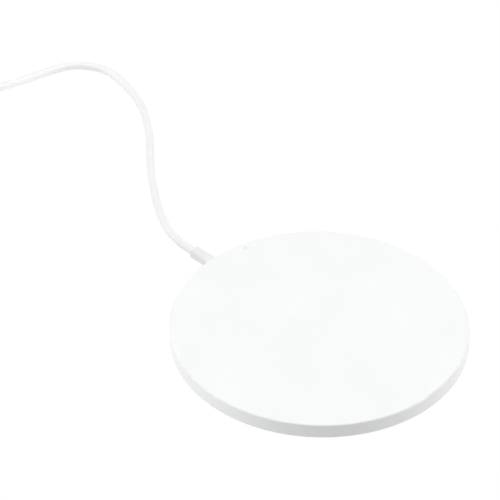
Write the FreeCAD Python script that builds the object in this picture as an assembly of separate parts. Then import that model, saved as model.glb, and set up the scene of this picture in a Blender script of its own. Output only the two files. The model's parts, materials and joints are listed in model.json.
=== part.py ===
import FreeCAD, Part

"""Round wireless charging pad with a captive cord that ends in a USB type-A plug.

Frame: millimetres, +Z up. The origin is on the surface that the feet stand on, below the centre of the
round housing. +Y points to the rear, where the cord leaves through its strain relief.

The housing is a shallow cup (top_cover) closed from below by a flat plate (base_cover) and four screws,
which the rubber feet hide. The flat coil and its ferrite sheet lie in the middle, pressed up against
the cover by a foam pad. A curved circuit board lies between them and the rear wall.
"""

import math
import os

Vector = FreeCAD.Vector
UP = Vector(0, 0, 1)
REAR = Vector(0, 1, 0)

# ---- clearances ----
OVERLAP = 0.1              # how far pieces that are fused run into each other
BEYOND = 1.0               # how far a cutter runs past the faces that it opens
FIT = 0.1                  # gap round a part that drops into a recess
TOUCH = 0.02               # gap between a round part and a flat face

# ---- housing ----
PAD_RADIUS = 50.0
FOOT_HEIGHT = 0.8          # how far the feet stand out below the housing
WALL_HEIGHT = 5.4          # height of the side wall
PLATE = 1.2                # thickness of the top plate and of the base plate
SKIRT = 1.4                # thickness of the side wall
TOP_EDGE_RADIUS = 0.7
LOWER_EDGE_RADIUS = 0.35
SEAM = 0.2                 # gap round the base plate
LABEL_RADIUS = 21.0        # shallow round field in the underside
LABEL_DEPTH = 0.15

BASE_Z = FOOT_HEIGHT
FLOOR_Z = BASE_Z + PLATE
TOP_Z = BASE_Z + WALL_HEIGHT
CEILING_Z = TOP_Z - PLATE
INNER_RADIUS = PAD_RADIUS - SKIRT
BASE_RADIUS = INNER_RADIUS - SEAM

# ---- ribs and lips of the two covers ----
RIB = 0.8
RIB_HEIGHT = 1.0
RIB_ANGLES = [157.5 + 22.5 * k for k in range(11)]
COIL_RING = (25.6, 26.5)   # radii of the rib round the ferrite
LEAD_OPENING = 24.0        # width of the opening in that rib for the coil's leads
LIP_ANGLES = (134, 406)
FOAM_RING = (24.6, 25.4)
FOAM_RING_HEIGHT = 0.4

# ---- housing screws and the feet over them ----
SCREW_CIRCLE = 43.0
SCREW_ANGLES = (45, 135, 225, 315)
SCREW_RADIUS = 1.0
SCREW_HEAD_RADIUS = 1.9
SCREW_HEAD_HEIGHT = 0.85
SCREW_LENGTH = 2.8
SCREW_THREAD = (0.6, 0.22)  # pitch and depth
BOSS_RADIUS = 2.3
BOSS_Z = 2.9               # where the cover's bosses meet the base's screw cups
CUP_RADIUS = 3.4
CUP_FLANGE = 0.8
FOOT_RADIUS = 4.5
FOOT_SEAT = 0.4            # depth of the foot's recess
FOOT_EDGE = 0.3

# ---- charging coil ----
COIL_WIRE = 1.1
COIL_HALF_TURNS = 19
COIL_LAST_ARC = 60         # degrees that the winding goes on after its half turns
COIL_PITCH = 1.15
COIL_INNER_RADIUS = 10.3
COIL_START = 180           # direction of the winding's inner end, in degrees
TAPE = 0.15
TAPE_RADIUS = 22.4
FOAM_RADIUS = 22.0
FERRITE = 0.8
FERRITE_RADIUS = 25.0
LEAD_SLOT = (-11.3, -8.0)  # x range of the slot in the ferrite and the foam for the inner lead
LEAD_SLOT_START = -1.6
COIL_Z = CEILING_Z - TAPE - TOUCH - COIL_WIRE / 2
FERRITE_TOP = COIL_Z - COIL_WIRE / 2 - TOUCH - TAPE
FERRITE_BOTTOM = FERRITE_TOP - FERRITE
LEAD_Z = COIL_Z - COIL_WIRE - 2 * TOUCH
SENSOR_PLACE = (-5.0, -0.6)
SENSOR_RADIUS = 0.5
SENSOR_LEAD = 0.32
SENSOR_LEADS_X = (-9.3, -8.7)

# ---- circuit board ----
BOARD = 0.8
BOARD_BOTTOM = FLOOR_Z + 0.4
BOARD_TOP = BOARD_BOTTOM + BOARD
BOARD_RADII = (28.0, 47.8)
BOARD_ANGLES = (52, 128)
BOARD_CORNER = 1.5
PAD = 0.05                 # thickness of the metal pads under wires and flat packages
BOARD_NOTCH = 9.6          # width of the cut-out for the cord's end
BOARD_NOTCH_START = 38.5
STANDOFF_RADIUS = 1.8
BOARD_SCREW_RADIUS = 0.8
BOARD_SCREW_HEAD = 1.5
BOARD_SCREW_LENGTH = 1.9
BOARD_SCREW_THREAD = (0.5, 0.2)
HEAD_ROUNDING = 0.3
LIGHT_RADIUS = 0.5
LIGHT_COLLAR = 0.95
COIL_PADS = ((-8.8, 31.6), (1.5, 31.6))             # x and y: inner lead, outer lead
SENSOR_PADS = ((-6.6, 28.9), (-5.4, 28.9))
BOARD_SCREWS = ((31.6, 57), (31.6, 123), (44.2, 101))   # from here on, radius and angle
LIGHT_PLACE = (47.0, 76)
CONTROLLER_PLACE = (38.4, 112)
SWITCH_PLACES = ((36.6, 60), (41.8, 60))
RESONANT_PLACES = [(32.6, 82 - 5 * k) for k in range(4)]
INPUT_PLACES = [(40.2, 79 - 4.5 * k) for k in range(3)]
SENSE_PLACES = [(40.6, 65)]
CAPACITOR_PLACES = [(32.8, 109.5 + 3.4 * k) for k in range(3)] + [(45.0, 62 + 2.8 * k) for k in range(3)]
RESISTOR_PLACES = [(44.2, 106 + 2.6 * k) for k in range(7)]

# ---- cord and its exit ----
CORD = 2.9
CORD_Z = BASE_Z + WALL_HEIGHT / 2
CORD_STUB_START = 41.5     # y of the jacket's end inside the housing
BOOT_END = 58.9            # y of the strain relief's outer face
BOOT_AT_WALL = (4.2, 3.4)  # width and height of the strain relief
BOOT_AT_END = (3.9, 3.3)
BOOT_CORNER = 1.0
BOOT_END_EDGE = 0.12
NECK = (3.5, 3.2)          # where it passes through the wall
NECK_CORNER = 1.4
FLANGE = (6.4, 2.8)        # inside the wall
FLANGE_CORNER = 0.5
FLANGE_THICKNESS = 1.6
CHEEK = 0.8                # ribs beside the flange
CHEEK_LENGTH = 4.4
CHEEK_GAP = 0.15
CORE = 0.75                # diameter of one insulated core
CORE_OFFSET = 0.42         # from the cord's axis, in x and z
CORE_GRIP = 1.2            # length of each core inside the jacket's end
CORE_CORNERS = {"wire_red": (-1, 1), "wire_white": (-1, -1), "wire_green": (1, -1), "wire_black": (1, 1)}
CORE_PADS = {"wire_red": -4.2, "wire_white": -1.4, "wire_green": 1.4, "wire_black": 4.2}
CORE_PAD_Y = 35.6
CORE_SOLDER = 0.85         # radii of the domes of solder
COIL_SOLDER = 1.05
SENSOR_SOLDER = 0.4

# The free cord's route: straight out of the strain relief, down to the surface, a long bend to the
# right and a tighter one to the left, and on to the coil that the rest is wound into.
CORD_ROUTE = [
    (0.0, 58.9, 3.5), (0.0, 65.8, 3.5), (3.5, 75.2, 1.6), (10.4, 87.6, 1.45), (23.2, 104.0, 1.45),
    (37.6, 118.6, 1.45), (47.2, 132.4, 1.45), (51.5, 145.0, 1.45), (53.2, 157.1, 1.45),
    (46.4, 168.0, 1.45), (34.0, 171.4, 1.45), (20.6, 175.0, 1.45), (4.6, 181.2, 1.45),
    (-9.0, 187.4, 1.65), (-20.8, 190.2, 1.85),
]
TAIL_ROUTE = [(-48.5, 171.5, 4.5), (-50.1, 167.3, 4.1), (-51.3, 163.4, 3.9), (-52.4, 159.7, 3.9)]

# ---- the wound length and its tie ----
COIL_CENTRE = Vector(-27.0, 169.8, 0)
TURN_RADII = (11.85, 20.55)         # cord's axis on its innermost and outermost turns
LAYERS = 2
BUNDLE_BOTTOM = 0.4                 # the tie passes below
BUNDLE_EASE = 0.05
BUNDLE_EDGE = 1.1
TIE_ANGLE = 255
TIE_WIDTH = 3.2
TIE_THICKNESS = 0.4
TIE_EASE = 0.15
TIE_CORNER = 1.0
TIE_TWIST = (1.0, 9.0)              # radius and length of the twisted ends

# ---- USB type-A plug, in its own frame: +Y from the cord to the tip ----
PLUG_BODY = (15.0, 7.8, 19.0)       # width, height, length
PLUG_CORNER = 2.6
PLUG_EDGE = 0.8
PLUG_BOOT_LENGTH = 10.0
PLUG_BOOT_AT_BODY = (7.2, 5.8)
PLUG_BOOT_AT_CORD = (4.6, 4.6)
PLUG_BOOT_CORNER = 2.0
PLUG_GROOVES = 3
PLUG_GROOVE = 0.9
PLUG_GROOVE_STEP = 2.5
PLUG_CORE = (4.1, 3.9)              # what a groove leaves of the boot at the cord's end
PLUG_CORE_GROWTH = (0.5, 0.35)      # from one groove to the next
PLUG_CORE_CORNER = 1.7
PLUG_Z = PLUG_BODY[1] / 2
SHELL = (12.0, 4.5)
SHELL_WALL = 0.3
SHELL_CORNER = 0.6
SHELL_SEAM = 0.12
SHELL_OUT = 12.0                    # how far the shell stands out of the body
SHELL_IN = 7.0                      # how far it goes into the body
WINDOW = (2.4, 2.0)
WINDOW_X = 2.9
WINDOW_FROM_TIP = 5.2
TONGUE = (11.1, 1.85)
TONGUE_CORNER = 0.2
TONGUE_BACK = 0.4                   # how far its end lies behind the shell's tip
CONTACT = (1.0, 0.3)
CONTACT_SUNK = 0.18
CONTACT_GRIP = 2.0
CONTACT_BACK = 1.2
CONTACTS = {-3.5: 0.0, -1.0: 1.0, 1.0: 1.0, 3.5: 0.0}   # x, and how far it lies behind the outer two
INNER_MOULD = (10.6, 4.2)
INNER_MOULD_CORNER = 0.5
INNER_MOULD_START = 2.5
CORD_IN_PLUG = 4.0

PLUG_FRONT = PLUG_BOOT_LENGTH + PLUG_BODY[2]
SHELL_START = PLUG_FRONT - SHELL_IN
SHELL_TIP = PLUG_FRONT + SHELL_OUT


# ---- helpers ----
def polar(radius, degrees, z=0.0):
    a = math.radians(degrees)
    return Vector(radius * math.cos(a), radius * math.sin(a), z)


def rod(radius, z0, z1, at=Vector()):
    return Part.makeCylinder(radius, z1 - z0, Vector(at.x, at.y, z0))


def round_bar(diameter, y0, y1, x=0.0, z=0.0):
    """A round bar along Y."""
    return Part.makeCylinder(diameter / 2, y1 - y0, Vector(x, y0, z), REAR)


def tube_ring(outer, inner, z0, z1):
    return rod(outer, z0, z1).cut(rod(inner, z0, z1))


def block(size, z0, z1, at=Vector(), turn=0.0):
    """A box of size (x, y) centred on at, turned about Z."""
    box = Part.makeBox(size[0], size[1], z1 - z0, Vector(-size[0] / 2, -size[1] / 2, z0))
    box.rotate(Vector(), UP, turn)
    box.translate(Vector(at.x, at.y, 0))
    return box


def numbered(name, shapes):
    """Node names for repeated parts: name_1, name_2 and so on."""
    return {f"{name}_{k}": shape for k, shape in enumerate(shapes, 1)}


def fused(shapes):
    first, *rest = shapes
    return first.multiFuse(rest).removeSplitter()


def cut_all(shape, tools):
    for tool in tools:
        shape = shape.cut(tool)
    return shape


def arc(a, b, c):
    return Part.Arc(a, b, c).toShape()


def line(a, b):
    return Part.LineSegment(a, b).toShape()


def ring_sector(outer, inner, start, end, z0, z1):
    """A piece of a flat ring between two angles."""
    middle = (start + end) / 2
    outline = [
        arc(polar(outer, start, z0), polar(outer, middle, z0), polar(outer, end, z0)),
        line(polar(outer, end, z0), polar(inner, end, z0)),
        arc(polar(inner, end, z0), polar(inner, middle, z0), polar(inner, start, z0)),
        line(polar(inner, start, z0), polar(outer, start, z0)),
    ]
    return Part.Face(Part.Wire(outline)).extrude(Vector(0, 0, z1 - z0))


def rounded_outline(size, corner, y, z):
    """A rounded rectangle across the Y axis, centred on x = 0 and the height z."""
    w, h = size[0] / 2 - corner, size[1] / 2 - corner
    d = corner * math.sqrt(0.5)
    corners = []
    for sx, sz in ((1, 1), (-1, 1), (-1, -1), (1, -1)):
        beside = Vector(sx * (w + corner), y, z + sz * h)
        above = Vector(sx * w, y, z + sz * (h + corner))
        middle = Vector(sx * (w + d), y, z + sz * (h + d))
        first, last = (beside, above) if sx * sz > 0 else (above, beside)
        corners.append((first, middle, last))
    outline = []
    for this, following in zip(corners, corners[1:] + corners[:1]):
        outline += [arc(*this), line(this[2], following[0])]
    return Part.Wire(outline)


def prism(size, corner, y0, y1, z):
    """A bar along Y with rounded long edges."""
    return Part.Face(rounded_outline(size, corner, y0, z)).extrude(Vector(0, y1 - y0, 0))


def taper(size0, size1, corner, y0, y1, z):
    """A bar along Y that changes from one rounded section to another."""
    ends = [rounded_outline(size0, corner, y0, z), rounded_outline(size1, corner, y1, z)]
    return Part.makeLoft(ends, True, True)


def bend_at(before, corner, after):
    """Start, middle and end of the arc at a corner of a route, and its radius."""
    back, ahead = before - corner, after - corner
    along = 0.45 * min(back.Length, ahead.Length)
    turn = math.pi - back.getAngle(ahead)
    radius = along / math.tan(turn / 2)
    back.normalize()
    ahead.normalize()
    inward = back + ahead
    inward.normalize()
    middle = corner + inward * (radius / math.cos(turn / 2) - radius)
    return corner + back * along, middle, corner + ahead * along, radius


def route_wire(points):
    """Straight runs joined by tangent arcs, each as large as its two runs allow."""
    points = [Vector(*p) for p in points]
    edges, radii, at = [], [], points[0]
    for before, corner, after in zip(points, points[1:], points[2:]):
        start, middle, end, radius = bend_at(before, corner, after)
        edges += [line(at, start), arc(start, middle, end)]
        radii.append(radius)
        at = end
    edges.append(line(at, points[-1]))
    return Part.Wire(edges), radii


def swept(path, start, toward, diameter):
    """A round bar along a path that begins at start in the direction toward."""
    profile = Part.Wire(Part.Circle(start, toward, diameter / 2).toShape())
    return path.makePipeShell([profile], True, False)


def tube(points, diameter):
    path, _ = route_wire(points)
    start = Vector(*points[0])
    return swept(path, start, Vector(*points[1]) - start, diameter)


def print_route(name, points, bar):
    """The route's length, its bends, and the tube's volume over section times length."""
    path, radii = route_wire(points)
    ratio = bar.Volume / (math.pi * CORD ** 2 / 4 * path.Length)
    bends = " ".join(f"{r:.1f}" for r in radii)
    print(f"{name}: length {path.Length:.1f}, volume ratio {ratio:.4f}, radii {bends}")


# ---- housing ----
def neck_bar(ease=0.0):
    """The section of the strain relief's neck, through the side wall."""
    size = (NECK[0] - 2 * ease, NECK[1] - 2 * ease)
    return prism(size, NECK_CORNER, INNER_RADIUS - BEYOND, PAD_RADIUS + BEYOND, CORD_Z)


def cup():
    """The cover's plate and side wall, turned from half of their section."""
    r, t, b = PAD_RADIUS, TOP_EDGE_RADIUS, LOWER_EDGE_RADIUS
    diagonal = 1 - math.sqrt(0.5)
    edge_top = Vector(r - t, 0, TOP_Z)
    edge_middle = Vector(r - t * diagonal, 0, TOP_Z - t * diagonal)
    edge_side = Vector(r, 0, TOP_Z - t)
    lower_side = Vector(r, 0, BASE_Z + b)
    lower_middle = Vector(r - b * diagonal, 0, BASE_Z + b * diagonal)
    lower_face = Vector(r - b, 0, BASE_Z)
    inside = [Vector(INNER_RADIUS, 0, BASE_Z), Vector(INNER_RADIUS, 0, CEILING_Z), Vector(0, 0, CEILING_Z)]
    centre = Vector(0, 0, TOP_Z)
    straight = [lower_face, *inside, centre, edge_top]
    outline = [line(a, b) for a, b in zip(straight, straight[1:])]
    outline += [
        arc(edge_top, edge_middle, edge_side),
        line(edge_side, lower_side),
        arc(lower_side, lower_middle, lower_face),
    ]
    return Part.Face(Part.Wire(outline)).revolve(Vector(), UP, 360)


def cover_ribs():
    """The ring round the ferrite and the ribs from it to the side wall."""
    upper = CEILING_Z + OVERLAP
    ring = tube_ring(COIL_RING[1], COIL_RING[0], FERRITE_BOTTOM + 2 * FIT, upper)
    ring = ring.cut(block((LEAD_OPENING, LEAD_OPENING / 2), 0, TOP_Z, Vector(0, COIL_RING[1], 0)))
    start, end = COIL_RING[1] - OVERLAP, INNER_RADIUS + OVERLAP
    ribs = [
        block((end - start, RIB), CEILING_Z - RIB_HEIGHT, upper, polar((start + end) / 2, a), a)
        for a in RIB_ANGLES
    ]
    return [ring, *ribs]


def flange_cheeks():
    """Two ribs that hold the strain relief's flange from the sides."""
    start, end = INNER_RADIUS - CHEEK_LENGTH, INNER_RADIUS + OVERLAP
    x = FLANGE[0] / 2 + CHEEK_GAP + CHEEK / 2
    return [
        block((CHEEK, end - start), BOARD_BOTTOM, CEILING_Z + OVERLAP, Vector(side * x, (start + end) / 2, 0))
        for side in (-1, 1)
    ]


def top_cover():
    places = [polar(SCREW_CIRCLE, a) for a in SCREW_ANGLES]
    bosses = [rod(BOSS_RADIUS, BOSS_Z, CEILING_Z + OVERLAP, at) for at in places]
    cover = fused([cup(), *cover_ribs(), *bosses, *flange_cheeks()])
    pilots = [rod(SCREW_RADIUS + TOUCH, BOSS_Z - BEYOND, CEILING_Z + OVERLAP, at) for at in places]
    slot = block((NECK[0], 2 * SKIRT + BEYOND), BASE_Z - BEYOND, CORD_Z, Vector(0, PAD_RADIUS, 0))
    light_hole = rod(LIGHT_RADIUS + TOUCH, CEILING_Z - BEYOND, TOP_Z + BEYOND, polar(*LIGHT_PLACE))
    return cut_all(cover, [*pilots, slot, neck_bar(), light_hole])


def wall_tab():
    """Fills the cover's slot below the strain relief's neck."""
    width = NECK[0] - FIT
    tab_start = BASE_RADIUS - BEYOND
    tab = block((width, PAD_RADIUS - tab_start), BASE_Z, FLOOR_Z, Vector(0, (PAD_RADIUS + tab_start) / 2, 0))
    upright = block((width, SKIRT), BASE_Z, CORD_Z - BEYOND, Vector(0, PAD_RADIUS - SKIRT / 2, 0))
    return fused([tab, upright]).common(rod(PAD_RADIUS, BASE_Z, TOP_Z)).cut(neck_bar())


def base_cover():
    plate = rod(BASE_RADIUS, BASE_Z, FLOOR_Z)
    lower_edge = [e for e in plate.Edges if e.CenterOfMass.z < BASE_Z + TOUCH]
    plate = plate.makeFillet(LOWER_EDGE_RADIUS, lower_edge)
    lip = ring_sector(BASE_RADIUS, BASE_RADIUS - RIB, *LIP_ANGLES, FLOOR_Z - OVERLAP, FLOOR_Z + RIB)
    foam_ring = tube_ring(FOAM_RING[1], FOAM_RING[0], FLOOR_Z - OVERLAP, FLOOR_Z + FOAM_RING_HEIGHT)
    places = [polar(SCREW_CIRCLE, a) for a in SCREW_ANGLES]
    board_places = [polar(*place) for place in BOARD_SCREWS]
    cups = [rod(CUP_RADIUS, FLOOR_Z - OVERLAP, BOSS_Z, at) for at in places]
    standoffs = [rod(STANDOFF_RADIUS, FLOOR_Z - OVERLAP, BOARD_BOTTOM, at) for at in board_places]
    base = fused([plate, lip, foam_ring, *cups, *standoffs, wall_tab()])
    holes = [rod(LABEL_RADIUS, BASE_Z - BEYOND, BASE_Z + LABEL_DEPTH)]
    for at in places:
        holes += [
            rod(FOOT_RADIUS + FIT, BASE_Z - BEYOND, BASE_Z + FOOT_SEAT, at),
            rod(SCREW_HEAD_RADIUS + 2 * FIT, BASE_Z, BOSS_Z - CUP_FLANGE, at),
            rod(SCREW_RADIUS + FIT, BASE_Z, BOSS_Z + BEYOND, at),
        ]
    pilot_bottom = BOARD_TOP - BOARD_SCREW_LENGTH - 2 * FIT
    holes += [rod(BOARD_SCREW_RADIUS + TOUCH, pilot_bottom, BOARD_TOP, at) for at in board_places]
    return cut_all(base, holes)


def rubber_feet():
    foot = rod(FOOT_RADIUS, 0, BASE_Z + FOOT_SEAT)
    lower_edge = [e for e in foot.Edges if e.CenterOfMass.z < TOUCH]
    foot = foot.makeFillet(FOOT_EDGE, lower_edge)
    return [foot.translated(polar(SCREW_CIRCLE, a)) for a in SCREW_ANGLES]


def screw(radius, head_radius, head_height, length, pitch, depth):
    """A pan-head screw, turned from a profile: its head stands on z = 0 and its thread is below."""
    core = radius - depth
    section = [(0, head_height), (head_radius - HEAD_ROUNDING, head_height),
               (head_radius, head_height - HEAD_ROUNDING), (head_radius, 0), (core, 0)]
    for k in range(1, int((length - radius) / pitch) + 1):
        ridge = -pitch * k
        section += [(core, ridge + 0.35 * pitch), (radius, ridge + 0.15 * pitch),
                    (radius, ridge), (core, ridge - 0.1 * pitch)]
    section += [(0, -length), (0, head_height)]
    profile = Part.makePolygon([Vector(x, 0, z) for x, z in section])
    turned = Part.Face(profile).revolve(Vector(), UP, 360)
    arm = (1.3 * head_radius, 0.28 * head_radius)
    recess = [block(size, 0.45 * head_height, head_height + BEYOND) for size in (arm, arm[::-1])]
    return cut_all(turned, recess)


def housing_screws():
    """Their heads are in the base's recesses and point down."""
    one = screw(SCREW_RADIUS, SCREW_HEAD_RADIUS, SCREW_HEAD_HEIGHT, SCREW_LENGTH, *SCREW_THREAD)
    one.rotate(Vector(), Vector(1, 0, 0), 180)
    one.translate(Vector(0, 0, BOSS_Z - CUP_FLANGE))
    return Part.makeCompound([one.translated(polar(SCREW_CIRCLE, a)) for a in SCREW_ANGLES])


def light_pipe():
    """A clear pin, a little below the cover's face, with a collar inside."""
    at = polar(*LIGHT_PLACE)
    lower = CEILING_Z - LIGHT_RADIUS - 2 * FIT
    pin = rod(LIGHT_RADIUS, lower, TOP_Z - FIT, at)
    return fused([pin, rod(LIGHT_COLLAR, lower, CEILING_Z - FIT, at)])


# ---- charging coil ----
def spiral_edges():
    """Half circles from two centres, which join smoothly into a spiral of even pitch, and a last arc."""
    edges, radius, angle = [], COIL_INNER_RADIUS, COIL_START
    centre = Vector(0, 0, COIL_Z)
    for sweep in [180] * COIL_HALF_TURNS + [COIL_LAST_ARC]:
        edges.append(arc(centre + polar(radius, angle), centre + polar(radius, angle + sweep / 2),
                         centre + polar(radius, angle + sweep)))
        angle += sweep
        centre = centre + polar(-COIL_PITCH / 2, angle)
        radius += COIL_PITCH / 2
    return edges, angle


def coil_pieces():
    """The winding, its inner lead, which dips and passes below it, and its outer lead."""
    edges, end_angle = spiral_edges()
    start, end = edges[0].firstVertex().Point, edges[-1].lastVertex().Point
    winding = swept(Part.Wire(edges), start, polar(1, COIL_START + 90), COIL_WIRE)
    pad_z = BOARD_TOP + COIL_WIRE / 2 + PAD
    (x0, y0), (x1, y1) = COIL_PADS
    back = polar(1, COIL_START - 90)
    inner = tube([start, start + back * 1.4, start + back * 5.0 + Vector(0.1, 0, LEAD_Z - COIL_Z),
                  (-10.35, 14.0, LEAD_Z), (-10.2, 22.4, LEAD_Z), (x0 - 0.8, y0 - 5.0, pad_z + 0.25),
                  (x0, y0, pad_z)], COIL_WIRE)
    outer = tube([end, end + polar(5.0, end_angle + 90), (4.2, 24.6, COIL_Z),
                  (x1 + 0.4, y1 - 3.6, pad_z + 0.1), (x1, y1, pad_z)], COIL_WIRE)
    return winding, inner, outer


def slotted(disc):
    """Cut the slot for the inner lead and the sensor's leads."""
    x0, x1 = LEAD_SLOT
    middle = Vector((x0 + x1) / 2, LEAD_SLOT_START + FERRITE_RADIUS, 0)
    return disc.cut(block((x1 - x0, 2 * FERRITE_RADIUS), 0, TOP_Z, middle))


def ferrite_sheet():
    return slotted(rod(FERRITE_RADIUS, FERRITE_BOTTOM, FERRITE_TOP))


def coil_tape():
    return rod(TAPE_RADIUS, CEILING_Z - TAPE, CEILING_Z)


def ferrite_tape():
    return slotted(rod(TAPE_RADIUS, FERRITE_TOP, FERRITE_TOP + TAPE))


def foam_pad():
    return slotted(rod(FOAM_RADIUS, FLOOR_Z, FERRITE_BOTTOM))


def thermistor():
    """A bead inside the coil, with two thin leads through the ferrite's slot."""
    x, y = SENSOR_PLACE
    bead = Part.makeSphere(SENSOR_RADIUS, Vector(x, y, COIL_Z))
    leads = []
    for side, slot_x, (pad_x, pad_y) in zip((-1, 1), SENSOR_LEADS_X, SENSOR_PADS):
        leads.append(tube([
            (x, y - 0.2 * side, COIL_Z - 0.3 + 0.05 * side), (slot_x + 0.1, y - 0.3 * side, COIL_Z - 0.32),
            (slot_x, y + 2.6, 3.5), (slot_x + 0.1, y + 6.4, 3.2), (slot_x, 23.4, 3.15),
            (pad_x - 0.3, 26.8, BOARD_TOP + 0.4), (pad_x, pad_y, BOARD_TOP + 0.2),
        ], SENSOR_LEAD))
    return fused([bead, *leads])


# ---- circuit board ----
def circuit_board():
    board = ring_sector(BOARD_RADII[1], BOARD_RADII[0], *BOARD_ANGLES, BOARD_BOTTOM, BOARD_TOP)
    board = board.makeFillet(BOARD_CORNER, [e for e in board.Edges if abs(e.Length - BOARD) < TOUCH])
    depth = BOARD_RADII[1] - BOARD_NOTCH_START + BEYOND
    notch = block((BOARD_NOTCH, depth), 0, TOP_Z, Vector(0, BOARD_NOTCH_START + depth / 2, 0))
    holes = [rod(BOARD_SCREW_RADIUS + FIT, 0, TOP_Z, polar(*place)) for place in BOARD_SCREWS]
    return cut_all(board, [notch, *holes])


def board_screws():
    one = screw(BOARD_SCREW_RADIUS, BOARD_SCREW_HEAD, BOARD, BOARD_SCREW_LENGTH, *BOARD_SCREW_THREAD)
    return Part.makeCompound([one.translated(polar(*place, BOARD_TOP)) for place in BOARD_SCREWS])


def chips(size, cap, places, across=0):
    """Leadless parts on the board: their bodies, and the two metal end caps of each.

    Their length is radial, or is turned from that by the angle across.
    """
    length, width, height = size
    bodies, caps = [], []
    for radius, angle in places:
        at, turn = polar(radius, angle), angle + across
        body_size = (length - 2 * cap, width - 2 * TOUCH)
        bodies.append(block(body_size, BOARD_TOP + TOUCH, BOARD_TOP + height - TOUCH, at, turn))
        for side in (-1, 1):
            end = at + polar(side * (length - cap) / 2, turn)
            caps.append(block((cap, width), BOARD_TOP, BOARD_TOP + height, end, turn))
    return bodies, caps


def flat_package(size, height, place, pads):
    """A flat package with a dot at its first pad, and a row of pads on two sides."""
    radius, angle = place
    at = polar(radius, angle)
    body = block((size, size), BOARD_TOP + PAD, BOARD_TOP + height, at, angle)
    dot_at = at + polar(0.36 * size, angle + 40)
    body = body.cut(rod(0.3, BOARD_TOP + height - FIT, BOARD_TOP + height + BEYOND, dot_at))
    pitch = 0.8 * size / pads
    rows = []
    for side in (-1, 1):
        for k in range(pads):
            beside = polar(side * size / 2, angle) + polar(pitch * (k - (pads - 1) / 2), angle + 90)
            rows.append(block((0.5, pitch / 2), BOARD_TOP, BOARD_TOP + PAD, at + beside, angle))
    return body, rows


def board_parts():
    """Every part on the board, by node name. The metal ends of all of them are one node."""
    resonant, metal = chips((3.2, 1.7, 1.5), 0.45, RESONANT_PLACES)
    inputs, caps = chips((3.2, 1.6, 1.4), 0.45, INPUT_PLACES)
    metal += caps
    nodes = {**numbered("resonant_capacitor", resonant), **numbered("input_capacitor", inputs)}
    small = {
        "current_sense_resistor": ((3.2, 1.6, 0.6), 0.5, SENSE_PLACES),
        "chip_capacitors": ((1.6, 0.8, 0.8), 0.3, CAPACITOR_PLACES),
        "chip_resistors": ((1.6, 0.8, 0.45), 0.3, RESISTOR_PLACES),
        "status_led": ((1.6, 0.8, 0.6), 0.25, [LIGHT_PLACE], 90),
    }
    for name, measures in small.items():
        bodies, caps = chips(*measures)
        nodes[name] = Part.makeCompound(bodies)
        metal += caps
    controller, pads = flat_package(5.0, 0.85, CONTROLLER_PLACE, 8)
    nodes["controller_ic"] = controller
    metal += pads
    for name, place in zip(("bridge_mosfet_1", "bridge_mosfet_2"), SWITCH_PLACES):
        nodes[name], pads = flat_package(3.3, 0.8, place, 4)
        metal += pads
    nodes["chip_terminals"] = Part.makeCompound(metal)
    return nodes


# ---- cord ----
def strain_relief():
    """A tapered boot outside the wall, a neck through it and a flange inside."""
    body = taper(BOOT_AT_WALL, BOOT_AT_END, BOOT_CORNER, INNER_RADIUS, BOOT_END, CORD_Z)
    end = [e for e in body.Edges if e.BoundBox.YMin > BOOT_END - TOUCH]
    body = body.makeFillet(BOOT_END_EDGE, end).cut(rod(PAD_RADIUS, 0, TOP_Z))
    flange = prism(FLANGE, FLANGE_CORNER, INNER_RADIUS - FLANGE_THICKNESS, INNER_RADIUS, CORD_Z)
    flange = flange.common(rod(INNER_RADIUS, 0, TOP_Z))
    neck = neck_bar(TOUCH).common(rod(PAD_RADIUS + OVERLAP, 0, TOP_Z))
    neck = neck.cut(rod(INNER_RADIUS - OVERLAP, 0, TOP_Z))
    bore = round_bar(CORD, CORD_STUB_START, BOOT_END + BEYOND, 0, CORD_Z)
    return fused([body, neck, flange]).cut(bore)


def core_place(name):
    """x and z of an insulated core in the jacket's end."""
    sx, sz = CORE_CORNERS[name]
    return sx * CORE_OFFSET, CORD_Z + sz * CORE_OFFSET


def cord_inner_end():
    """The jacket inside the housing and the strain relief."""
    jacket = round_bar(CORD, CORD_STUB_START, BOOT_END, 0, CORD_Z)
    grip = CORD_STUB_START + CORE_GRIP
    return cut_all(jacket, [round_bar(CORE, CORD_STUB_START, grip, *core_place(n)) for n in CORE_PADS])


def core_wire(name):
    """An insulated core from the jacket's end to its pad."""
    x, z = core_place(name)
    pad = CORE_PADS[name]
    low = BOARD_TOP + CORE / 2 + PAD
    return tube([
        (x, CORD_STUB_START + CORE_GRIP, z), (x, CORD_STUB_START - 1.1, z),
        (0.3 * x + 0.7 * pad, CORD_STUB_START - 3.0, max(z, low) + 0.25),
        (pad, CORE_PAD_Y + 1.3, low + 0.1), (pad, CORE_PAD_Y, low),
    ], CORE)


def solder_joints(wires):
    """A dome of solder on each pad, round the end of its wire."""
    spots = [(pad, CORE_PAD_Y, CORE_SOLDER) for pad in CORE_PADS.values()]
    spots += [(x, y - 0.3, COIL_SOLDER) for x, y in COIL_PADS]
    spots += [(x, y, SENSOR_SOLDER) for x, y in SENSOR_PADS]
    domes = [Part.makeSphere(r, Vector(x, y, BOARD_TOP), UP, 0, 90, 360) for x, y, r in spots]
    return Part.makeCompound([
        cut_all(dome, [w for w in wires if w.BoundBox.intersect(dome.BoundBox)]) for dome in domes
    ])


def bundle_section():
    """Middle radius, middle height, width and height of the wound cord."""
    inner, outer = TURN_RADII
    width = outer - inner + CORD + 2 * BUNDLE_EASE
    height = LAYERS * CORD
    return (inner + outer) / 2, BUNDLE_BOTTOM + height / 2, width, height


def wound_cord():
    """The outer shape of the coil that the rest of the cord is wound into."""
    radius, z, width, height = bundle_section()
    ring = tube_ring(radius + width / 2, radius - width / 2, z - height / 2, z + height / 2)
    circles = [e for e in ring.Edges if e.BoundBox.ZLength < TOUCH]
    return ring.makeFillet(BUNDLE_EDGE, circles).translated(COIL_CENTRE)


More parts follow.
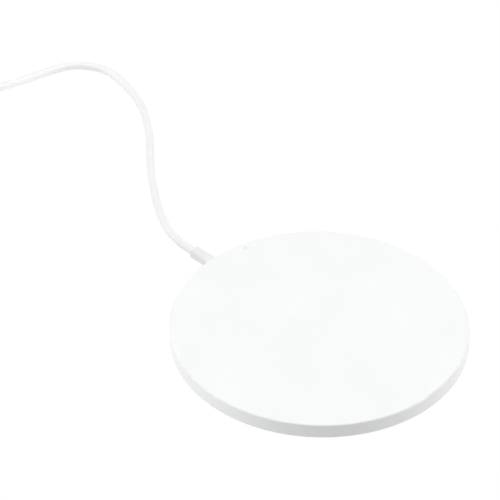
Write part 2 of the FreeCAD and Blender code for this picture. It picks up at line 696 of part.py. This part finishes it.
def cord_tie():
    """A plastic-covered wire: a band round the wound cord, and its twisted ends."""
    radius, z, width, height = bundle_section()
    inner = (width + 2 * TIE_EASE, height)
    outer = (inner[0] + 2 * TIE_THICKNESS, inner[1] + 2 * TIE_THICKNESS)
    band = prism(outer, TIE_CORNER + TIE_THICKNESS, -TIE_WIDTH / 2, TIE_WIDTH / 2, z)
    band = band.cut(prism(inner, TIE_CORNER, -TIE_WIDTH, TIE_WIDTH, z))
    twist_radius, twist_length = TIE_TWIST
    root = Vector(outer[0] / 2 - TIE_THICKNESS / 2, 0, z)
    twist = Part.makeCylinder(twist_radius, twist_length, root, Vector(1, 0, 0))
    tie = fused([band, twist])
    tie.translate(Vector(radius, 0, 0))
    tie.rotate(Vector(), UP, TIE_ANGLE)
    return tie.translated(COIL_CENTRE)


# ---- plug ----
def plug_shell():
    """The folded metal shell, open at the tip, with two windows on each face and a seam below."""
    inner_size = (SHELL[0] - 2 * SHELL_WALL, SHELL[1] - 2 * SHELL_WALL)
    shell = prism(SHELL, SHELL_CORNER, SHELL_START, SHELL_TIP, PLUG_Z)
    hollow = prism(inner_size, SHELL_CORNER - SHELL_WALL, SHELL_START - BEYOND, SHELL_TIP + BEYOND, PLUG_Z)
    window_y = SHELL_TIP - WINDOW_FROM_TIP - WINDOW[1] / 2
    windows = [block(WINDOW, 0, 2 * PLUG_Z, Vector(side * WINDOW_X, window_y, 0)) for side in (-1, 1)]
    seam = block((SHELL_SEAM, 4 * SHELL_OUT), 0, PLUG_Z, Vector(0, SHELL_TIP, 0))
    return cut_all(shell, [hollow, *windows, seam])


def plug_insides():
    """The insulator, the four contacts on it and the stiff moulding behind it."""
    tongue_z = PLUG_Z - SHELL[1] / 2 + SHELL_WALL + TOUCH + TONGUE[1] / 2
    tongue = prism(TONGUE, TONGUE_CORNER, SHELL_START, SHELL_TIP - TONGUE_BACK, tongue_z)
    contact_z = tongue_z + TONGUE[1] / 2 - CONTACT_SUNK
    start = SHELL_START - CONTACT_GRIP
    contacts = []
    for x, behind in CONTACTS.items():
        end = SHELL_TIP - CONTACT_BACK - behind
        size = (CONTACT[0], end - start)
        contacts.append(block(size, contact_z, contact_z + CONTACT[1], Vector(x, (start + end) / 2, 0)))
    mould = prism(INNER_MOULD, INNER_MOULD_CORNER, PLUG_BOOT_LENGTH + INNER_MOULD_START, SHELL_START, PLUG_Z)
    return cut_all(tongue, contacts), contacts, cut_all(mould, contacts)


def plug_overmould(insides):
    """The moulded body and its grooved boot, round the given insides."""
    body = prism(PLUG_BODY[:2], PLUG_CORNER, PLUG_BOOT_LENGTH, PLUG_FRONT, PLUG_Z)
    body = body.makeFillet(PLUG_EDGE, [e for e in body.Edges if e.BoundBox.YLength < TOUCH])
    boot_end = PLUG_BOOT_LENGTH + BEYOND
    boot = taper(PLUG_BOOT_AT_CORD, PLUG_BOOT_AT_BODY, PLUG_BOOT_CORNER, 0, boot_end, PLUG_Z)
    grooves = []
    for k in range(PLUG_GROOVES):
        y = PLUG_GROOVE_STEP * (k + 1)
        size = tuple(core + k * growth for core, growth in zip(PLUG_CORE, PLUG_CORE_GROWTH))
        left = prism(size, PLUG_CORE_CORNER, y - BEYOND, y + PLUG_GROOVE + BEYOND, PLUG_Z)
        grooves.append(prism(PLUG_BODY[:2], PLUG_CORNER, y, y + PLUG_GROOVE, PLUG_Z).cut(left))
    solid_shell = prism(SHELL, SHELL_CORNER, SHELL_START, SHELL_TIP, PLUG_Z)
    return cut_all(fused([body, cut_all(boot, grooves)]), [solid_shell, *insides])


def plug_parts():
    """The plug's pieces, in its own frame."""
    tongue, contacts, mould = plug_insides()
    cord_end = round_bar(CORD, 0, PLUG_BOOT_LENGTH + CORD_IN_PLUG, 0, PLUG_Z)
    mould = mould.cut(cord_end)
    return {
        "usb_plug_overmould": plug_overmould([mould, *contacts, cord_end]),
        "usb_plug_shell": plug_shell(),
        "usb_plug_insulator": tongue,
        "usb_plug_contacts": Part.makeCompound(contacts),
        "usb_plug_inner_mould": mould,
        "cord_plug_end": cord_end,
    }


def placed_plug():
    """The plug lies flat on the surface, in line with the end of the cord's tail."""
    end, before = Vector(*TAIL_ROUTE[-1]), Vector(*TAIL_ROUTE[-2])
    ahead = end - before
    turn = math.degrees(math.atan2(ahead.y, ahead.x)) - 90
    placed = {}
    for name, shape in plug_parts().items():
        shape.rotate(Vector(), UP, turn)
        placed[name] = shape.translated(Vector(end.x, end.y, 0))
    return placed


# ---- the whole object ----
def build():
    winding, inner_lead, outer_lead = coil_pieces()
    wires = {name: core_wire(name) for name in CORE_PADS}
    sensor = thermistor()
    bundle = wound_cord()
    cord, tail = tube(CORD_ROUTE, CORD), tube(TAIL_ROUTE, CORD)
    print_route("cord", CORD_ROUTE, cord)
    print_route("cord_tail", TAIL_ROUTE, tail)
    return {
        "top_cover": top_cover(),
        "base_cover": base_cover(),
        **numbered("rubber_foot", rubber_feet()),
        "housing_screws": housing_screws(),
        "light_pipe": light_pipe(),
        "coil_winding": fused([winding, inner_lead, outer_lead]),
        "coil_tape": coil_tape(),
        "ferrite_tape": ferrite_tape(),
        "ferrite_sheet": ferrite_sheet(),
        "foam_pad": foam_pad(),
        "thermistor": sensor,
        "circuit_board": circuit_board(),
        "board_screws": board_screws(),
        **board_parts(),
        **wires,
        "solder_joints": solder_joints([*wires.values(), inner_lead, outer_lead, sensor]),
        "strain_relief": strain_relief(),
        "cord_inner_end": cord_inner_end(),
        "cord": cord.cut(bundle),
        "cord_coil": bundle,
        "cord_tail": tail.cut(bundle),
        "cord_tie": cord_tie(),
        **placed_plug(),
    }


def main():
    os.makedirs("parts", exist_ok=True)
    for name, shape in build().items():
        solids = shape.Solids
        shape = solids[0] if len(solids) == 1 else Part.makeCompound(solids)
        if not shape.isValid():
            print(f"{name}: not a valid shape")
        shape.exportStep(f"parts/{name}.step")
        print(f"{name}: {len(solids)} solid(s), {shape.Volume:.2f} mm3")


main()
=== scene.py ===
# Looks for the round wireless charging pad: camera, cord, tie, a material on every piece, floor and
# light. Metres, in the frame of the CAD model: the origin is below the centre of the round housing, on
# the surface that its feet stand on, and +Y is the rear, where the cord leaves. Angles are in degrees.

import json
import math

import bmesh
import bpy
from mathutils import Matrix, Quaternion, Vector


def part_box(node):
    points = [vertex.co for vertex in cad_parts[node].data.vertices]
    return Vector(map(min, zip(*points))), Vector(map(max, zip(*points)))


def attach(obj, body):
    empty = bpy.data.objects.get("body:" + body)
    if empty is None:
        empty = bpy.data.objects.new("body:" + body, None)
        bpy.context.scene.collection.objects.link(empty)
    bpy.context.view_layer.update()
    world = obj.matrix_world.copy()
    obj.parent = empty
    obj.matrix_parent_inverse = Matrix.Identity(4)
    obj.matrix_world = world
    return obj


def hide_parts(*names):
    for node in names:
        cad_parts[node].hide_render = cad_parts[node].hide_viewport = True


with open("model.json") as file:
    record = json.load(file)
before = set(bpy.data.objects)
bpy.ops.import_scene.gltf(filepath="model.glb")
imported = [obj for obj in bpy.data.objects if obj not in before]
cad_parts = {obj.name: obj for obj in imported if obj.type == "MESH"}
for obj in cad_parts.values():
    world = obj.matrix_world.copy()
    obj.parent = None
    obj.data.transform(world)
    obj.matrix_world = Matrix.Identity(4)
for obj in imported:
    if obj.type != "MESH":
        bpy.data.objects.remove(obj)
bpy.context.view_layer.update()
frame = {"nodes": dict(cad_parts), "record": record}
nodes = frame["nodes"]
record = frame["record"]

UP = Vector((0, 0, 1))

# ---- camera ----
CAMERA_AIM = Vector((0.01728, 0.04917, 0.0))   # where its axis meets the surface
CAMERA_AZIMUTH = -46.08                        # 0 looks along +Y
CAMERA_ELEVATION = 39.283
CAMERA_ROLL = 0.747
CAMERA_DISTANCE = 1.3699
LENS = 288.0                                   # millimetres

# ---- the cord's route, as in the CAD model ----
CORD_DIAMETER = 0.0029
CORD_ROUTE = [
    (0.0, 0.0589, 0.0035), (0.0, 0.0658, 0.0035), (0.0035, 0.0752, 0.0016), (0.0104, 0.0876, 0.00145),
    (0.0232, 0.104, 0.00145), (0.0376, 0.1186, 0.00145), (0.0472, 0.1324, 0.00145),
    (0.0515, 0.145, 0.00145), (0.0532, 0.1571, 0.00145), (0.0464, 0.168, 0.00145),
    (0.034, 0.1714, 0.00145), (0.0206, 0.175, 0.00145), (0.0046, 0.1812, 0.00145),
    (-0.009, 0.1874, 0.00165), (-0.0208, 0.1902, 0.00185),
]
TAIL_ROUTE = [
    (-0.0485, 0.1715, 0.0045), (-0.0501, 0.1673, 0.0041), (-0.0513, 0.1634, 0.0039),
    (-0.0524, 0.1597, 0.0039),
]
CORD_SECTION_RESOLUTION = 7
CORD_RUN_RESOLUTION = 10

# The wound length, between the two routes. A turn's place is its radius and height, in cord diameters
# from the outermost turn of the bottom layer. The cord steps on to the next place a little before it
# has gone right round, so it finds that place free.
TURN_RADIUS = 0.02055
TURN_Z = 0.00185
TURN_PLACES = [(0, 0), (-1, 0), (-2, 0), (-3, 0), (-3, 1), (-2, 1), (-1, 1), (0, 1)]
STEP_EVERY = 0.94                              # turns
STEP_LENGTH = 0.25                             # turns
FIRST_ANGLE = 90
LAST_ANGLE = 158
POINTS_PER_TURN = 20

# ---- the tie: a flat plastic strip with a wire along its middle ----
TIE_ANGLE = 255                                # where it goes round the wound length
TIE_EASE = 0.0001                              # room between it and the cord, on each side
TIE_CORNER = 0.0011
TIE_FORK = 0.0006                              # bend where an end leaves the band
TWIST_LENGTH = 0.0076
TWIST_PITCH = 0.0046
STRIP_WIDTH = 0.0031
STRIP_STATION = 0.00018                        # distance between two of its sections
# A quarter of its section, from an edge to the rib over the wire, as shares of width and thickness.
STRIP_QUARTER = [(0.5, 0.12), (0.45, 0.2), (0.2, 0.2), (0.12, 0.42), (0, 0.5)]


# ---- camera ----
def towards(azimuth, elevation):
    """The direction from the object to a camera or lamp at these angles."""
    azimuth = math.radians(azimuth)
    elevation = math.radians(elevation)
    level = math.cos(elevation)
    return Vector((math.sin(azimuth) * level, -math.cos(azimuth) * level, math.sin(elevation)))


def place_facing(thing, aim, back, distance):
    """Puts a camera or lamp at a distance from what it is aimed at."""
    thing.location = aim + back * distance
    thing.rotation_mode = "QUATERNION"
    thing.rotation_quaternion = (-back).to_track_quat("-Z", "Y")
    bpy.context.scene.collection.objects.link(thing)


def make_camera():
    data = bpy.data.cameras.new("camera")
    data.lens = LENS
    camera = bpy.data.objects.new("camera", data)
    place_facing(camera, CAMERA_AIM, towards(CAMERA_AZIMUTH, CAMERA_ELEVATION), CAMERA_DISTANCE)
    camera.rotation_quaternion @= Quaternion((0, 0, 1), math.radians(CAMERA_ROLL))
    bpy.context.scene.camera = camera


# ---- cord ----
def smooth(x):
    x = min(max(x, 0), 1)
    return x * x * (3 - 2 * x)


def turn_place(turns):
    """Radius and height of the wound cord after so many turns."""
    radius = TURN_RADIUS
    z = TURN_Z
    for k, (this, following) in enumerate(zip(TURN_PLACES, TURN_PLACES[1:]), 1):
        done = smooth((turns - k * STEP_EVERY) / STEP_LENGTH + 0.5)
        radius += CORD_DIAMETER * (following[0] - this[0]) * done
        z += CORD_DIAMETER * (following[1] - this[1]) * done
    return radius, z


def wound_points():
    """Control points of the turns. They lie outside the turns as far as the curve lies inside them."""
    turns = len(TURN_PLACES) - 1 + (LAST_ANGLE - FIRST_ANGLE) / 360
    count = round(turns * POINTS_PER_TURN)
    outside = 1 / math.cos(math.pi / POINTS_PER_TURN)
    low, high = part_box("cord_coil")
    centre = (low + high) / 2
    points = []
    for k in range(count + 1):
        done = turns * k / count
        radius, z = turn_place(done)
        angle = math.radians(FIRST_ANGLE + 360 * done)
        x = centre.x + outside * radius * math.cos(angle)
        y = centre.y + outside * radius * math.sin(angle)
        points.append((x, y, z))
    return points


def make_cord():
    points = CORD_ROUTE + wound_points() + TAIL_ROUTE
    data = bpy.data.curves.new("power_cord", "CURVE")
    data.dimensions = "3D"
    data.bevel_depth = 1                       # times each point's radius
    data.bevel_resolution = CORD_SECTION_RESOLUTION
    data.resolution_u = CORD_RUN_RESOLUTION
    data.use_fill_caps = True
    spline = data.splines.new("NURBS")
    spline.points.add(len(points) - 1)
    for point, place in zip(spline.points, points):
        point.co = (*place, 1)
        point.radius = CORD_DIAMETER / 2
    spline.order_u = 3
    spline.use_endpoint_u = True
    cord = bpy.data.objects.new("power_cord", data)
    bpy.context.scene.collection.objects.link(cord)
    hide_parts("cord", "cord_coil", "cord_tail")
    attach(cord, "root")
    return cord


# ---- tie ----
def arc(radius, turn):
    """A bend, as the length and the turn of one move."""
    return radius * math.radians(abs(turn)), turn


def follow(moves, start):
    """Follows moves in a plane. Gives the distance out, height and heading of each station."""
    out, z, heading = start
    stations = [start]
    for length, turn in moves:
        count = max(2, round(length / STRIP_STATION))
        for _ in range(count):
            heading += turn / count / 2
            out += length / count * math.cos(math.radians(heading))
            z += length / count * math.sin(math.radians(heading))
            heading += turn / count / 2
            stations.append((out, z, heading))
    return stations


def tie_stations(thickness, inner, outer, low, high):
    """The strip goes in along the twist, round the wound cord and out along the twist."""
    corner = TIE_CORNER + thickness / 2
    wide = outer - inner + thickness - 2 * corner
    tall = high - low + thickness - 2 * corner
    side = tall / 2 - TIE_FORK - thickness / 2
    start = (outer + thickness / 2 + TIE_FORK + TWIST_LENGTH, (low + high) / 2 + thickness / 2, 180)
    bend = arc(corner, 90)
    end = [(TWIST_LENGTH, 0), arc(TIE_FORK, -90), (side, 0)]
    return follow([*end, bend, (wide, 0), bend, (tall, 0), bend, (wide, 0), bend, *end[::-1]], start)


def strip_section():
    """The strip's whole section, in order round it."""
    upper = [(-across, up) for across, up in STRIP_QUARTER] + STRIP_QUARTER[-2::-1]
    return upper + [(across, -up) for across, up in upper[::-1]]


def add_ring(mesh, station, thickness, twist_start, centre):
    """The strip's section at a station. From twist_start outwards, its two ends twist together."""
    out, z, heading = station
    outward = Vector((math.cos(math.radians(TIE_ANGLE)), math.sin(math.radians(TIE_ANGLE)), 0))
    sideways = UP.cross(outward)
    away = math.radians(heading - 90)
    normal = outward * math.cos(away) + UP * math.sin(away)
    twist = Quaternion(outward, math.tau * max(0, out - twist_start) / TWIST_PITCH)
    ring = []
    for across, up in strip_section():
        offset = UP * (z - centre.z) + sideways * (across * STRIP_WIDTH) + normal * (up * thickness)
        ring.append(mesh.verts.new(centre + outward * out + twist @ offset))
    return ring


def add_skin(mesh, rings):
    """Faces from each ring to the next, and one over each end."""
    for this, following in zip(rings, rings[1:]):
        for k in range(len(this)):
            face = mesh.faces.new((this[k - 1], this[k], following[k], following[k - 1]))
            face.smooth = True
    mesh.faces.new(rings[0])
    mesh.faces.new(rings[-1][::-1])
    bmesh.ops.recalc_face_normals(mesh, faces=mesh.faces)


def make_tie():
    """A flat plastic strip on a wire, wrapped round the wound cord, with its ends twisted together."""
    low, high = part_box("cord_coil")
    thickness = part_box("cord_tie")[1].z - high.z
    outside = (high.x - low.x) / 2
    steps_inwards = -min(place[0] for place in TURN_PLACES)
    inside = 2 * TURN_RADIUS - outside - steps_inwards * CORD_DIAMETER
    outer = outside + TIE_EASE
    inner = inside - TIE_EASE
    twist_start = outer + thickness + TIE_FORK
    mesh = bmesh.new()
    rings = [add_ring(mesh, station, thickness, twist_start, (low + high) / 2)
             for station in tie_stations(thickness, inner, outer, low.z, high.z)]
    add_skin(mesh, rings)
    data = bpy.data.meshes.new("twist_tie")
    mesh.to_mesh(data)
    mesh.free()
    tie = bpy.data.objects.new("twist_tie", data)
    bpy.context.scene.collection.objects.link(tie)
    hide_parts("cord_tie")
    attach(tie, "root")
    return tie


make_camera()
power_cord = make_cord()
twist_tie = make_tie()


# ---- nodes ----
PATTERN_LOW = 0.3      # most of a pattern's values lie between these two
PATTERN_HIGH = 0.7


def add(owner, kind, settings=None, **inputs):
    """A node with its settings and inputs. An input is a value or another node's output."""
    node = owner.node_tree.nodes.new(kind)
    for key, value in (settings or {}).items():
        setattr(node, key, value)
    for key, value in inputs.items():
        socket = node.inputs[key.replace("_", " ")]
        if isinstance(value, bpy.types.NodeSocket):
            join(owner, value, socket)
        else:
            socket.default_value = value
    return node


def join(owner, output, socket):
    owner.node_tree.links.new(output, socket)


def place_of(material):
    return add(material, "ShaderNodeTexCoord").outputs["Object"]


def noise(material, scale, detail=4, where=None):
    where = where or place_of(material)
    node = add(material, "ShaderNodeTexNoise", Vector=where, Scale=scale, Detail=detail)
    return node.outputs["Fac"]


def cells(material, scale, settings=None):
    node = add(material, "ShaderNodeTexVoronoi", settings, Vector=place_of(material), Scale=scale)
    return node.outputs["Distance"]


def between(material, pattern, low, high):
    """Spreads a pattern over the range low to high."""
    node = add(material, "ShaderNodeMapRange", Value=pattern, From_Min=PATTERN_LOW,
               From_Max=PATTERN_HIGH, To_Min=low, To_Max=high)
    return node.outputs["Result"]


def soft_step(owner, value, span, low, high):
    """Goes smoothly from low to high as the value crosses the span."""
    node = add(owner, "ShaderNodeMapRange", {"interpolation_type": "SMOOTHSTEP"}, Value=value,
               From_Min=span[0], From_Max=span[1], To_Min=low, To_Max=high)
    return node.outputs["Result"]


# ---- what materials are made of ----
def base_colour(slot):
    return next(m["base_color"][:3] for m in record["materials"] if m["slot"] == slot)


def shade(colour, factor):
    return tuple(min(1.0, c * factor) for c in colour)


def new_material(name, colour, roughness, **sockets):
    """A Principled material. Returns it and its shader."""
    material = bpy.data.materials.new(name)
    material.use_nodes = True
    shader = material.node_tree.nodes["Principled BSDF"]
    shader.inputs["Base Color"].default_value = (*colour, 1)
    shader.inputs["Roughness"].default_value = roughness
    for socket, value in sockets.items():
        shader.inputs[socket.replace("_", " ")].default_value = value
    return material, shader


def vary_colour(material, shader, pattern, colour, low, high):
    """Makes the colour follow a pattern, from low times the colour to high times it."""
    ramp = add(material, "ShaderNodeValToRGB", Fac=pattern)
    first, second = ramp.color_ramp.elements
    first.position = PATTERN_LOW
    second.position = PATTERN_HIGH
    first.color = (*shade(colour, low), 1)
    second.color = (*shade(colour, high), 1)
    join(material, ramp.outputs["Color"], shader.inputs["Base Color"])


def vary_gloss(material, shader, pattern, roughness, less, more):
    """Makes the roughness follow a pattern, from less below its own value to more above it."""
    rough = between(material, pattern, roughness - less, roughness + more)
    join(material, rough, shader.inputs["Roughness"])


def bump(material, shader, pattern, distance):
    """Raises the surface by up to the distance, where the pattern is high."""
    node = add(material, "ShaderNodeBump", Height=pattern, Distance=distance, Strength=1.0)
    join(material, node.outputs["Normal"], shader.inputs["Normal"])


# ---- materials ----
def moulded_plastic(slot, roughness, grain, depth=0.000006, variation=0.015):
    """Plastic out of a spark-eroded mould: an even fine grain and faint cloudiness."""
    colour = base_colour(slot)
    material, shader = new_material(slot, colour, roughness)
    cloud = noise(material, scale=60, detail=3)
    vary_colour(material, shader, cloud, colour, low=1 - variation, high=1 + variation / 2)
    vary_gloss(material, shader, noise(material, scale=900), roughness, less=0.04, more=0.05)
    bump(material, shader, noise(material, scale=grain, detail=2), distance=depth)
    return material


def elastomer(slot, roughness, grain=3000, depth=0.000008):
    """Soft moulded rubber: matte, with a slight bloom."""
    colour = base_colour(slot)
    material, shader = new_material(slot, colour, roughness, Sheen_Weight=0.1, Sheen_Roughness=0.5)
    vary_colour(material, shader, noise(material, scale=220), colour, low=0.975, high=1.01)
    bump(material, shader, noise(material, scale=grain, detail=3), distance=depth)
    return material


def metal(slot, roughness, brushed=True):
    """Plated or tinned metal with uneven gloss and, where it is brushed, fine scratches."""
    colour = base_colour(slot)
    material, shader = new_material(slot, colour, roughness, Metallic=1.0)
    where = place_of(material)
    if brushed:
        where = add(material, "ShaderNodeMapping", Vector=where, Scale=(1, 14, 1)).outputs["Vector"]
    streaks = noise(material, scale=1400, detail=5, where=where)
    vary_colour(material, shader, noise(material, scale=500), colour, low=0.9, high=1.05)
    vary_gloss(material, shader, streaks, roughness, less=0.08, more=0.12)
    bump(material, shader, streaks, distance=0.000004)
    return material


def stranded_copper(slot):
    """Enamelled strands laid together: a fine ribbing, with painted shade in the gaps between the
    strands and painted light on their crowns.
    """
    colour = base_colour(slot)
    material, shader = new_material(slot, colour, roughness=0.3, Metallic=0.9, Coat_Weight=0.4)
    strands_and_painted_shade = cells(material, scale=5200)
    # Painted shade: the gaps between the strands darker, the strands' crowns lighter.
    vary_colour(material, shader, strands_and_painted_shade, colour, low=1.15, high=0.55)
    bump(material, shader, strands_and_painted_shade, distance=-0.00004)
    return material


def tape_film(slot):
    """Glossy film, slightly wrinkled over what it holds, with painted shade in the troughs of the
    wrinkles.
    """
    colour = base_colour(slot)
    material, shader = new_material(slot, colour, roughness=0.25, Coat_Weight=0.5)
    wrinkles_and_painted_shade = noise(material, scale=300, detail=3)
    # Painted shade: the wrinkles' troughs are darker, only where the bump sinks.
    vary_colour(material, shader, wrinkles_and_painted_shade, colour, low=0.85, high=1)
    bump(material, shader, wrinkles_and_painted_shade, distance=0.00003)
    return material


def sintered(slot, roughness, grain, depth, variation):
    """Fired powder, such as ferrite or a chip capacitor's body."""
    colour = base_colour(slot)
    material, shader = new_material(slot, colour, roughness)
    grains = noise(material, scale=grain, detail=6)
    vary_colour(material, shader, grains, colour, low=1 - variation, high=1 + variation)
    bump(material, shader, grains, distance=depth)
    return material


def open_foam(slot):
    """Foam with open cells, with painted shade inside the cells and painted light on the cell walls."""
    colour = base_colour(slot)
    material, shader = new_material(slot, colour, roughness=0.9)
    pores_and_painted_shade = cells(material, scale=2600)
    # Painted shade: each cell darker inside, where the surface sinks, and lighter on its raised walls.
    vary_colour(material, shader, pores_and_painted_shade, colour, low=0.4, high=1.4)
    bump(material, shader, pores_and_painted_shade, distance=0.00015)
    return material


def solder_mask(slot):
    """Green lacquer over copper: tracks show as paler, raised bands."""
    colour = base_colour(slot)
    material, shader = new_material(slot, colour, roughness=0.3, Coat_Weight=0.3)
    gaps = cells(material, scale=420, settings={"distance": "MANHATTAN", "feature": "DISTANCE_TO_EDGE"})
    lacquer = between(material, gaps, low=0, high=1)
    vary_colour(material, shader, lacquer, colour, low=1.7, high=1)
    bump(material, shader, lacquer, distance=-0.00003)
    return material


def glossy_insulation(slot, roughness=0.35):
    """Extruded plastic with a thin gloss over it."""
    colour = base_colour(slot)
    material, shader = new_material(slot, colour, roughness, Coat_Weight=0.15)
    cloud = noise(material, scale=1500, detail=3)
    vary_colour(material, shader, cloud, colour, low=0.9, high=1.08)
    bump(material, shader, cloud, distance=0.00001)
    return material


def clear_plastic(slot, transmission):
    """Plastic that lets some light through, and is a little uneven."""
    roughness = 0.2
    material, shader = new_material(slot, base_colour(slot), roughness,
                                    Transmission_Weight=transmission, IOR=1.49)
    cloud = noise(material, scale=1800, detail=3)
    vary_gloss(material, shader, cloud, roughness, less=0.06, more=0.08)
    bump(material, shader, cloud, distance=0.000004)
    return material


# How each slot of the record is made.
FINISHES = {
    "housing": (moulded_plastic, dict(roughness=0.4, grain=5200)),
    "feet": (elastomer, dict(roughness=0.75)),
    "light_pipe": (clear_plastic, dict(transmission=0.02)),
    "screw_steel": (metal, dict(roughness=0.35)),
    "litz_copper": (stranded_copper, {}),
    "pet_tape": (tape_film, {}),
    "ferrite": (sintered, dict(roughness=0.6, grain=2400, depth=0.00002, variation=0.35)),
    "foam": (open_foam, {}),
    "sensor": (clear_plastic, dict(transmission=0.2)),
    "board": (solder_mask, {}),
    "capacitor": (sintered, dict(roughness=0.4, grain=3600, depth=0.000008, variation=0.12)),
    "resistor": (sintered, dict(roughness=0.25, grain=3600, depth=0.000005, variation=0.25)),
    "led": (clear_plastic, dict(transmission=0.3)),
    "chip": (moulded_plastic, dict(roughness=0.55, grain=4200, depth=0.00001, variation=0.15)),
    "tin": (metal, dict(roughness=0.3, brushed=False)),
    "wire_red": (glossy_insulation, {}),
    "wire_white": (glossy_insulation, {}),
    "wire_green": (glossy_insulation, {}),
    "wire_black": (glossy_insulation, {}),
    "strain_relief": (elastomer, dict(roughness=0.62)),
    "cord_jacket": (elastomer, dict(roughness=0.5, grain=5000, depth=0.000002)),
    "tie": (glossy_insulation, dict(roughness=0.4)),
    "plug_mould": (moulded_plastic, dict(roughness=0.45, grain=3600, depth=0.00001)),
    "plug_shell": (metal, dict(roughness=0.46)),
    "plug_insulator": (moulded_plastic, dict(roughness=0.4, grain=4000)),
    "plug_contact": (metal, dict(roughness=0.22)),
    "inner_mould": (moulded_plastic, dict(roughness=0.55, grain=2600, depth=0.00002)),
}


def dress_pieces():
    """Makes the materials and puts each piece's material on it."""
    materials = {slot: make(slot, **settings) for slot, (make, settings) in FINISHES.items()}
    for part in record["subparts"]:
        mesh = nodes[part["node"]].data
        mesh.materials.clear()
        mesh.materials.append(materials[part["material_slot"]])
    power_cord.data.materials.append(materials["cord_jacket"])
    twist_tie.data.materials.append(materials["tie"])


dress_pieces()

# ---- floor and light ----
FLOOR_SIZE = 6
FLOOR_GLOW = 0.95
FLOOR_COLOUR = (0.06, 0.06, 0.06)
# The studio's brightness: a tall soft box on each side, one overhead, and little from front or back.
STUDIO_TURN = 6.5               # from the camera's azimuth to the middle of the dim front
FRONT_EDGE = (0.157, 0.524)     # cosines, seen from above, between which the sides fade to the front
BACK_EDGE = (-0.613, -0.268)    # and those between which the back changes to the sides
OVERHEAD_EDGE = (0.684, 0.978)  # sines of elevation between which the overhead box fades in
FRONT_LIGHT = 0.0
SIDE_LIGHT = 2.42
BACK_LIGHT = 0.3
OVERHEAD_LIGHT = 2.14
# A small low lamp, past the housing's side, for the cord's far run, which faces the dim front.
LAMP_AIM = Vector((0.028, 0.174, 0.0))
LAMP_AZIMUTH = -42
LAMP_ELEVATION = 4
LAMP_DISTANCE = 0.5
LAMP_RADIUS = 0.03
LAMP_POWER = 3.5                # watts
LAMP_CONE = 9.5
LAMP_BLEND = 0.6                # share of the cone that fades


def make_floor():
    """A pale sheet lit from below, as on a light table."""
    bpy.ops.mesh.primitive_plane_add(size=FLOOR_SIZE)
    floor = bpy.context.object
    floor.name = "floor"
    material, shader = new_material("floor", FLOOR_COLOUR, roughness=0.9, Emission_Strength=FLOOR_GLOW)
    shader.inputs["Emission Color"].default_value = (1, 1, 1, 1)
    shader.inputs["Specular IOR Level"].default_value = 0
    floor.data.materials.append(material)


def make_world():
    """The studio, as how bright each direction is."""
    world = bpy.data.worlds.new("studio")
    world.use_nodes = True
    direction = add(world, "ShaderNodeTexCoord").outputs["Generated"]
    xyz = add(world, "ShaderNodeSeparateXYZ", Vector=direction).outputs
    level = add(world, "ShaderNodeCombineXYZ", X=xyz["X"], Y=xyz["Y"]).outputs["Vector"]
    unit = add(world, "ShaderNodeVectorMath", {"operation": "NORMALIZE"}, Vector=level).outputs["Vector"]
    facing = add(world, "ShaderNodeVectorMath", {"operation": "DOT_PRODUCT"})
    join(world, unit, facing.inputs[0])
    facing.inputs[1].default_value = towards(CAMERA_AZIMUTH + STUDIO_TURN, 0)
    forward = facing.outputs["Value"]
    front = soft_step(world, forward, FRONT_EDGE, SIDE_LIGHT, FRONT_LIGHT)
    beside = soft_step(world, forward, BACK_EDGE, 0, 1)
    around = add(world, "ShaderNodeMix", {"data_type": "FLOAT"}, Factor=beside, A=BACK_LIGHT, B=front)
    overhead = soft_step(world, xyz["Z"], OVERHEAD_EDGE, 0, 1)
    light = add(world, "ShaderNodeMix", {"data_type": "FLOAT"}, Factor=overhead,
                A=around.outputs["Result"], B=OVERHEAD_LIGHT)
    background = world.node_tree.nodes["Background"]
    background.inputs["Color"].default_value = (1, 1, 1, 1)
    join(world, light.outputs["Result"], background.inputs["Strength"])
    bpy.context.scene.world = world


def make_lamp():
    data = bpy.data.lights.new("lamp", "SPOT")
    data.energy = LAMP_POWER
    data.spot_size = math.radians(LAMP_CONE)
    data.spot_blend = LAMP_BLEND
    data.shadow_soft_size = LAMP_RADIUS
    lamp = bpy.data.objects.new("lamp", data)
    lamp.visible_camera = False
    place_facing(lamp, LAMP_AIM, towards(LAMP_AZIMUTH, LAMP_ELEVATION), LAMP_DISTANCE)


make_floor()
make_world()
make_lamp()
bpy.context.scene.view_settings.view_transform = "Standard"
